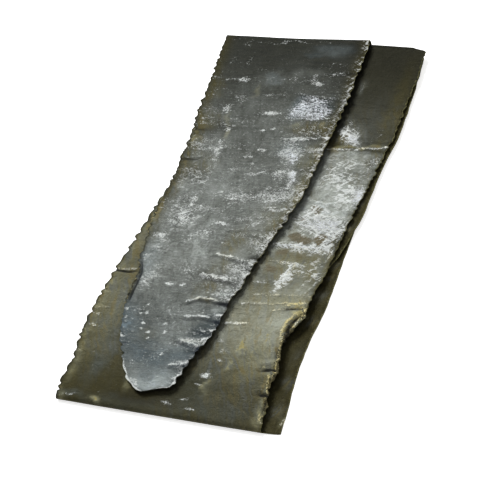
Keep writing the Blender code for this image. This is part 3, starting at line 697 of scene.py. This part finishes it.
def closed_blade(points, layers, shares):
    """The blade as a closed band: a loop round every row, and a fan at either end."""
    across = np.gradient(points, axis=1)
    normal = unit(np.cross(across, np.gradient(points, axis=0)))
    across = unit(across)
    half = local_thickness(points, layers, shares)[..., None] / 2
    outer = points + normal * half
    outer[layers == 1, :, 2] = 0
    loops = around(outer, points - normal * half)
    loops[:, OUTER_COLUMNS] += across[:, -1] * RIM_ROUNDING
    loops[:, -1] -= across[:, 0] * RIM_ROUNDING
    rows, loop = loops.shape[:2]
    number = np.arange(rows * loop).reshape(rows, loop)
    ahead = np.roll(number, -1, axis=1)
    quads = np.stack([number[:-1], ahead[:-1], ahead[1:], number[1:]], axis=2).reshape(-1, 4)
    tip = np.full(loop, rows * loop)
    fans = np.stack([[tip, ahead[0], number[0]], [tip + 1, number[-1], ahead[-1]]])
    return with_ends(loops), quads.tolist() + fans.swapaxes(1, 2).reshape(-1, 3).tolist()


def with_ends(loops):
    """The values of all loops in a row, then the means of the first loop and of the last one."""
    ends = np.stack([loops[0].mean(axis=0), loops[-1].mean(axis=0)])
    return np.concatenate([loops.reshape(-1, *loops.shape[2:]), ends])


def patch(x, y, x0, y0, wide, long, strength, turn=0):
    """A soft-edged oval patch: full in the middle, 0 outside, turned by some degrees."""
    cos, sin = math.cos(math.radians(turn)), math.sin(math.radians(turn))
    u = ((x - x0) * cos + (y - y0) * sin) / wide
    v = ((y - y0) * cos - (x - x0) * sin) / long
    return strength / 100 * np.exp(-(u * u + v * v) ** 1.5)


def push(x, y, seed):
    """A random push of up to 4 mm either way, in wide and in small waves."""
    return 5 * (mottle(x, y, seed, 11, 8) - 0.5) + 3 * (mottle(x, y, seed + 1, 4, 3) - 0.5)


def patch_sums(x, y, kinds):
    """The patches of every kind added up, with their outlines pushed about at random."""
    push_x = push(x, y, 81)
    push_y = push(x, y, 83)
    sums = {}
    for kind, spots in kinds.items():
        share = SMALL_PUSH.get(kind, 1)
        u = x + share * push_x
        v = y + share * push_y
        sums[kind] = sum((patch(u, v, *spot) for spot in spots), 0 * x)
    return sums


def along_pile(y, stops):
    """A value that changes along the pile, by straight steps between its stops."""
    places, percents = zip(*stops)
    return np.interp(y, places, percents) / 100


def tongue_marks(x, y, inwards, share):
    """What lies on the upper face of the tongue, with painted shade and a painted sheen."""
    marks = patch_sums(x, y, TONGUE_PATCHES)
    wave, pleat = fringe(y, inwards, TONGUE_TEETH)
    bands = mottle(x, y, *WIDE_BANDS) * mottle(x, y, *NARROW_BANDS)
    bloom = along_pile(y, TONGUE_BLOOM) * (0.45 + 1.8 * bands + 0.4 * np.clip(share, 0, 1))
    on_right, on_left = share > 0, share < 0
    near = ease(-y, -60, 30)
    far = ease(y, -60, 0)
    lip = stretch(y, LIP_ALONG) * on_left
    edge = 1.25 * bell(inwards, 1.7) * ease(y, -140, -174)
    pleats = on_right * pleat * (0.9 - 0.25 * ease(y, -40, 40) - 0.35 * ease(y, 90, 150))
    tops = line_marks(x, y, TONGUE_RIDGES, CREST) * (1 - 0.45 * near * ease(x, 0, 10))
    marks["dust_and_sheen"] += along_pile(y, TONGUE_DUST_AND_SHEEN)
    # Less dust and sheen near the margins of the far part, so that they come out darker: partly painted shade
    # where the margins curve.
    marks["dust_and_sheen"] *= 1 - 0.6 * bell(inwards, 6) * ease(y, -70, -20)
    marks["bloom"] += bloom + 0.22 * near * on_right * bell(inwards, 4)
    marks["crest"] = np.max([tops, pleats, edge, marks["specks"]], axis=0)
    marks["tan"] += 0.7 * lip * bell(inwards, 1.2)
    marks["olive"] += 0.9 * far * bell(inwards, 7)
    marks["blue"] += 0.12 * ease(y, -60, -150)
    marks["vein"] += 0.3 * far * on_right * bell(inwards, 6)
    # Painted shade: in the valley beside the turned lip, in the dips of the right margin's waves, along the
    # left margin where it lies on the second layer, and on the near side just below the ridges.
    marks["painted_shade"] += lip * bell(inwards - 2.4, 0.8) + 1.6 * on_right * np.clip(-wave, 0, 1)
    marks["painted_shade"] += 0.8 * on_left * bell(inwards, 1.3) * ease(y, -120, -90)
    marks["painted_shade"] += 0.7 * line_marks(x, y, TONGUE_RIDGES, LEE)
    return marks


def second_marks(x, y, inwards, share):
    """What lies on the upper face of the second layer, beside and below the tongue, with painted shade, a
    painted sheen and painted highlights on the hem.
    """
    marks = patch_sums(x, y, SECOND_PATCHES)
    beside = ease(x, -40, 0)
    veins = wrinkles(x, y - 0.3 * x, *BLOOM_VEINS)
    edging = (share < 0) * bell(inwards - 3, 4) * mottle(x, y, *EDGE_SPECKS)
    tops = line_marks(x, y, SECOND_RIDGES, CREST) * (1 - 0.6 * ease(-y, 114, 124) * ease(x, 50, 58))
    marks["dust_and_sheen"] += along_pile(y, SECOND_DUST_AND_SHEEN) * beside + along_pile(y, STRIP_FILM) * (1 - beside)
    marks["bloom"] += along_pile(y, SECOND_BLOOM) * (0.3 + 1.3 * veins) * beside
    marks["crest"] = np.maximum(tops, marks["painted_hem_highlights"] + marks["spots"])
    marks["tan"] += 0.6 * marks["painted_hem_highlights"] + 0.6 * edging
    marks["olive"] += 1 - 0.7 * ease(y, -60, 10)
    # Painted shade in the grooves of the hem and of the left crease, and along the left margin.
    marks["painted_shade"] += 0.9 * line_marks(x, y, GROOVES, CREST) + 0.9 * (share < 0) * bell(inwards, 1.3)
    return marks


def base_marks(x, y):
    """What lies on the base layer and the hidden faces: almost nothing, but painted reflections across the
    base's visible band and a few gold marks.
    """
    marks = patch_sums(x, y, BASE_PATCHES)
    plain = 0 * x
    return {"dust_and_sheen": 0.015 + marks["dust_and_sheen"], "bloom": plain + 0.05, "crest": marks["gold"],
            "tan": 0.8 * marks["gold"], "olive": plain + 1}


def loop_marks(points, layers, shares):
    """The marks and the place on the unfolded leaf for every point of every loop.

    The place is how far across and along the leaf a point lies and how deep, in centimetres, with
    the depth about tenfold, so that the two faces differ.
    """
    steps = np.linalg.norm(np.diff(points, axis=0), axis=2).mean(axis=1)
    along = np.concatenate([[0], np.cumsum(steps)])[:, None] + 0 * shares
    half = np.linalg.norm(points[:, -1] - points[:, 0], axis=1)[:, None] / 2
    across = half * shares
    inwards = half * (1 - np.abs(shares))
    share = 0 * across + shares
    x, y = points[..., 0], points[..., 1]
    on_tongue = (layers < 0.5)[:, None]
    on_second = ((layers >= 1.5) & (layers <= 2.5))[:, None]
    upper = tongue_marks(x, y, inwards, share)
    middle = second_marks(x, y, inwards, share)
    plain = base_marks(x, y)
    none = 0 * x
    margin = np.exp(-inwards / MARGIN_WIDTH)
    marks = {"margin": around(margin, margin)}
    for name in MARKS:
        hidden = plain.get(name, none)
        outer = np.where(on_tongue, upper.get(name, none), np.where(on_second, middle[name], hidden))
        marks[name] = around(outer, hidden)
    place = np.stack([across, along, none], axis=2)
    marks["place"] = around(place, place + (0, 0, INNER_DEPTH)) / 10
    return marks


def add_object(name, data):
    """A new object of the scene."""
    piece = bpy.data.objects.new(name, data)
    bpy.context.scene.collection.objects.link(piece)
    return piece


def build_blade():
    """The blade's object: its mesh with the marks as attributes."""
    points, layers, shares = blade_sheet()
    vertices, faces = closed_blade(points, layers, shares)
    mesh = bpy.data.meshes.new("folded_kombu")
    mesh.from_pydata(((vertices - np.array(CENTRE)) * MM).tolist(), [], faces)
    for name, values in loop_marks(points, layers, shares).items():
        kind, field = ("FLOAT_VECTOR", "vector") if name == "place" else ("FLOAT", "value")
        attribute = mesh.attributes.new(name, kind, "POINT")
        attribute.data.foreach_set(field, with_ends(values).ravel().astype(np.float32))
    mesh.update()
    mesh.shade_smooth()
    return add_object("folded_kombu", mesh)


class Tone:
    """A socket of a node tree that takes part in sums: every operator adds one Math node."""

    def __init__(self, tree, socket=None):
        self.tree = tree
        self.socket = socket

    def node(self, kind, settings, inputs, output=0):
        """A new node: its settings first, then the values or links of its sockets."""
        node = self.tree.nodes.new(kind)
        for name, value in settings.items():
            setattr(node, name, value)
        for name, value in inputs.items():
            if isinstance(value, Tone):
                self.tree.links.new(value.socket, node.inputs[name])
            else:
                node.inputs[name].default_value = value
        return Tone(self.tree, node.outputs[output])

    def maths(self, operation, *values):
        return self.node("ShaderNodeMath", {"operation": operation}, dict(enumerate(values)))

    def __add__(self, other):
        return self.maths("ADD", self, other)

    def __sub__(self, other):
        return self.maths("SUBTRACT", self, other)

    def __rsub__(self, other):
        return self.maths("SUBTRACT", other, self)

    def __mul__(self, other):
        return self.maths("MULTIPLY", self, other)

    __radd__ = __add__
    __rmul__ = __mul__

    def at_most(self, limit):
        return self.maths("MINIMUM", self, limit)

    def between(self, low, high, course="SMOOTHSTEP"):
        """0 below low, 1 above high, and a smooth step or a straight rise between them."""
        inputs = {"Value": self, "From Min": low, "From Max": high}
        return self.node("ShaderNodeMapRange", {"interpolation_type": course}, inputs)

    def placed(self, across, along, turn=0):
        """A vector turned about its third part, then scaled across and along the leaf."""
        place = self
        if turn:
            place = self.node("ShaderNodeVectorRotate", {"rotation_type": "Z_AXIS"}, {0: self, "Angle": turn})
        return self.node("ShaderNodeVectorMath", {"operation": "MULTIPLY"}, {0: place, 1: (across, along, 1)})

    def noise(self, detail, roughness, distortion, output=0):
        inputs = {"Vector": self, "Scale": 1, "Detail": detail, "Roughness": roughness,
                  "Distortion": distortion}
        return self.node("ShaderNodeTexNoise", {}, inputs, output)

    def spread(self, contrast):
        """Noise stretched about its middle, kept between 0 and 1."""
        return self.between(0.5 - 0.5 / contrast, 0.5 + 0.5 / contrast, "LINEAR")

    def ridged(self, sharpness):
        """Thin curling crests, 1 where the noise passes through its middle."""
        return (1 - self.maths("ABSOLUTE", self - 0.5) * sharpness).between(0, 1, "LINEAR")

    def blend(self, low, high):
        """One colour where this share is 0, turning into the other where it is 1."""
        return self.node("ShaderNodeMix", {"data_type": "RGBA"}, {0: self, 6: low, 7: high}, 2)


def cracked_web(place):
    """A net of thin lines, the edges of crumpled cells."""
    crumpled = {0: place.placed(0.7, 1.9, -0.35), 1: place.placed(1.6, 2).noise(3, 0.6, 0, 1)}
    inputs = {"Vector": place.node("ShaderNodeVectorMath", {"operation": "ADD"}, crumpled), "Scale": 1}
    edges = place.node("ShaderNodeTexVoronoi", {"feature": "DISTANCE_TO_EDGE"}, inputs)
    return 1 - edges.between(0, 0.14)


def new_material(name, values):
    """A material with uniform values set directly on its shader's sockets."""
    material = bpy.data.materials.new(name)
    material.use_nodes = True
    shader = material.node_tree.nodes["Principled BSDF"]
    for socket, value in values.items():
        shader.inputs[socket].default_value = value
    return material, shader


def dried_kelp():
    """Dark olive-grey dried leaf with dust and a painted sheen, cracked whitish bloom, pale lines partly
    painted as highlights, painted highlights on the hem and painted shade.
    """
    material, shader = new_material("dried_kelp", {"Specular IOR Level": 0.08})
    tree = Tone(material.node_tree)

    def mark(name, output=2):
        return tree.node("ShaderNodeAttribute", {"attribute_name": name}, {}, output)

    place = mark("place", 1)
    dust_and_sheen, bloom, crest, frost, bare, tan_mark, olive_mark, blue, vein_mark, painted_shade = map(mark, MARKS)
    margin = mark("margin")
    tan = tan_mark.at_most(1)
    olive = olive_mark.at_most(1)
    veined = vein_mark.at_most(0.7)

    clouds = place.placed(0.7, 0.6).noise(4, 0.6, 0).spread(2.2)
    blots = place.placed(1.7, 2).noise(3, 0.6, 0.4).spread(2.2)
    grit = place.placed(5, 6.5).noise(3, 0.7, 0.8).spread(2.6)
    curls = place.placed(3, 4.8).noise(2, 0.6, 1.6).ridged(8)
    strokes = place.placed(1.9, 4.8).noise(2.5, 0.6, 1.6).ridged(7)
    lines = place.placed(0.6, 5).noise(4, 0.6, 0.5).spread(2.4)
    hairs = place.placed(6, 0.8, 0.3).noise(2, 0.6, 0.2).spread(2.2)
    slanting = place.placed(0.5, 1.9, -0.9).noise(2, 0.55, 1.2).ridged(11)
    falling = place.placed(0.45, 1.8, 0.4).noise(2, 0.55, 1.2).ridged(11)
    sweeps = place.placed(1.9, 0.4, -0.33).noise(3, 0.55, 1.2).spread(2.4)
    drift = place.placed(0.3, 0.22).noise(2, 0.5, 0).spread(2.2)
    torn = place.placed(8, 4.5).noise(2, 0.6, 0.6).spread(2.6)
    web = cracked_web(place)
    strands = 0.75 * slanting + 0.65 * falling
    grains = grit * (1 - 0.6 * olive) + 0.3 * olive
    mix = (0.2 * blots + 0.4 * grit + 0.4 * curls).spread(1.5)

    crossed = (lines * 0.4 * (1.2 - 0.7 * olive) + grains * 0.3).at_most(1) * (0.26 + 0.8 * dust_and_sheen).at_most(1)
    tanned = (tan_mark * (0.4 + 0.4 * clouds + 0.3 * blots + 0.2 * grit)).at_most(1)
    soil = (3 * dust_and_sheen * olive_mark).at_most(0.65)
    # The dust and sheen thin out towards the margins, which come out darker: partly painted shade where the
    # margins curve.
    thin = dust_and_sheen * (1 - 0.3 * olive) * (1 - 0.8 * margin * (0.5 + 0.7 * blots)) * (0.7 + 0.6 * drift)
    haze = 0.65 * clouds + 0.35 * blots + 0.5 * grains + 0.3 * lines + 0.25 * hairs + 0.5 * sweeps - 0.15
    haze = (thin * haze).between(0, 1, "LINEAR")
    # White where the dust and painted sheen lie thickest.
    white = (dust_and_sheen * (0.4 + 0.9 * blots) - 0.8).between(0, 1.2)
    sheen = (blue * (0.4 + 0.6 * clouds + 0.5 * blots)).at_most(0.8)
    streaks = (0.7 * (1 - sweeps) + 0.5 * clouds + 0.4 * blots).between(0.9, 1.25) * tan
    gold = (tan_mark * (0.5 + 0.6 * blots) - 0.75).between(0, 0.3)
    powder = (mix + bloom.at_most(0.62) - 1).between(0, 0.22) * (0.6 + 0.4 * bloom).at_most(0.92)
    skin = (bare + 0.4 * mix).between(0.6, 0.8) * (0.7 + 0.3 * clouds)
    strand = 0.5 * web * (0.3 + 0.9 * blots) + 0.8 * strands + 0.1 * curls + 0.2 * grit
    vein = (strand + veined - 1).between(0, 0.36) * veined.between(0.05, 0.4)
    # Pale lines along the crests: rubbed bloom on the tops, with a painted highlight down each ridge's lit
    # far side.
    line = (0.95 * crest + 0.7 * mix + 0.1 * blots).between(0.85, 1.25)
    ice = (0.8 * strokes + 0.3 * grit + frost.at_most(0.45) - 1).between(0, 0.15) * frost.between(0.03, 0.2)
    hem = margin * tan
    rim = (margin + 0.35 * grit).between(1, 1.2) * (1 - hem) * (0.7 - 3 * blue).between(0, 1)
    # Painted shade from the mark of that name.
    painted_shade_coat = (painted_shade * (0.7 + 0.4 * grit)).at_most(0.95)

    leaf = olive.blend((0.017, 0.019, 0.016, 1), (0.042, 0.037, 0.012, 1))
    coats = (
        (crossed, (0.085, 0.08, 0.045, 1)),
        (tanned, (0.32, 0.31, 0.175, 1)),
        (sweeps.between(0.5, 0.8) * soil, (0.066, 0.074, 0.074, 1)),
        ((1 - sweeps).between(0.5, 0.8) * soil, (0.114, 0.092, 0.028, 1)),
        (haze, olive.blend((0.38, 0.41, 0.385, 1), (0.375, 0.39, 0.315, 1))),
        (white * 0.8, (0.7, 0.77, 0.79, 1)),
        (sheen, (0.2, 0.27, 0.31, 1)),
        (streaks * 0.6, (0.28, 0.2, 0.045, 1)),
        (gold * 0.45, (0.4, 0.31, 0.05, 1)),
        (powder, (0.74, 0.77, 0.75, 1)),
        (skin, (0.155, 0.135, 0.085, 1)),
        (vein * 0.88, (0.8, 0.83, 0.81, 1)),
        (line * 0.92, tan.blend((0.8, 0.84, 0.82, 1), (0.8, 0.7, 0.34, 1))),
        (ice, (0.86, 0.9, 0.94, 1)),
        # Painted highlights along the hem's crumpled golden rim, and painted shade in the gaps between its
        # crumples.
        ((hem + 0.6 * torn).between(0.84, 0.98) * 0.85, (0.82, 0.72, 0.36, 1)),
        ((hem - 0.6 * torn).between(0.18, 0.3) * 0.8, (0.012, 0.011, 0.006, 1)),
        (rim, (0.2, 0.19, 0.08, 1)),
        # Painted shade, bluish where the leaf is bluish.
        (painted_shade_coat, (3 * blue).at_most(1).blend((0.01, 0.01, 0.008, 1), (0.01, 0.019, 0.036, 1))),
    )
    for share, colour in coats:
        leaf = share.blend(leaf, colour)
    gloss = 0.6 + 0.2 * powder + 0.2 * ice + 0.1 * blots
    height = (0.3 * lines * (1 - 0.7 * olive) + 0.5 * blots + 0.4 * grains + 0.3 * curls + 0.3 * ice
              + 0.15 * hairs + 0.5 * (web + strands) * veined)
    bump = tree.node("ShaderNodeBump", {}, {"Strength": 0.9, "Distance": 0.0012, "Height": height})
    for name, tone in (("Base Color", leaf), ("Roughness", gloss), ("Normal", bump)):
        material.node_tree.links.new(tone.socket, shader.inputs[name])
    return material


def pale_floor():
    """A wide plain floor under the pile."""
    mesh = bpy.data.meshes.new("floor")
    corners = np.array([(-1, -1, 0), (1, -1, 0), (1, 1, 0), (-1, 1, 0)]) * FLOOR_REACH + (0, 0, FLOOR_HEIGHT)
    mesh.from_pydata(corners.tolist(), [], [(0, 1, 2, 3)])
    mesh.materials.append(new_material("pale_floor", {
        "Base Color": (0.93, 0.93, 0.93, 1), "Roughness": 0.9, "Specular IOR Level": 0,
        "Emission Color": (1, 1, 1, 1), "Emission Strength": 0.7})[0])
    return add_object("floor", mesh)


def soft_box(name, place, size, power):
    """A square soft light that faces the origin."""
    data = bpy.data.lights.new(name, "AREA")
    data.size = size
    data.energy = power
    facing = Vector(place).to_track_quat("Z", "Y").to_matrix().to_4x4()
    add_object(name, data).matrix_world = Matrix.Translation(place) @ facing


def photo_camera():
    """The photograph's viewpoint: above the near right, rolled a little to the right."""
    data = bpy.data.cameras.new("photo_camera")
    data.lens = LENS
    camera = add_object("photo_camera", data)
    swing, tilt, roll = (Matrix.Rotation(math.radians(angle), 4, axis) for angle, axis in CAMERA_TURNS)
    camera.matrix_world = Matrix.Translation(CAMERA_PLACE) @ swing @ tilt @ roll
    bpy.context.scene.camera = camera


blade = build_blade()
blade.data.materials.append(dried_kelp())
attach(blade, "root")
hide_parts("kombu")
floor = pale_floor()
soft_box("window_light", *WINDOW_LIGHT)
soft_box("room_light", *ROOM_LIGHT)
world = bpy.data.worlds.new("studio")
world.use_nodes = True
background = world.node_tree.nodes["Background"]
background.inputs["Color"].default_value = (1, 1, 1, 1)
background.inputs["Strength"].default_value = SKY_STRENGTH
bpy.context.scene.world = world
bpy.context.scene.view_settings.view_transform = "Standard"
photo_camera()
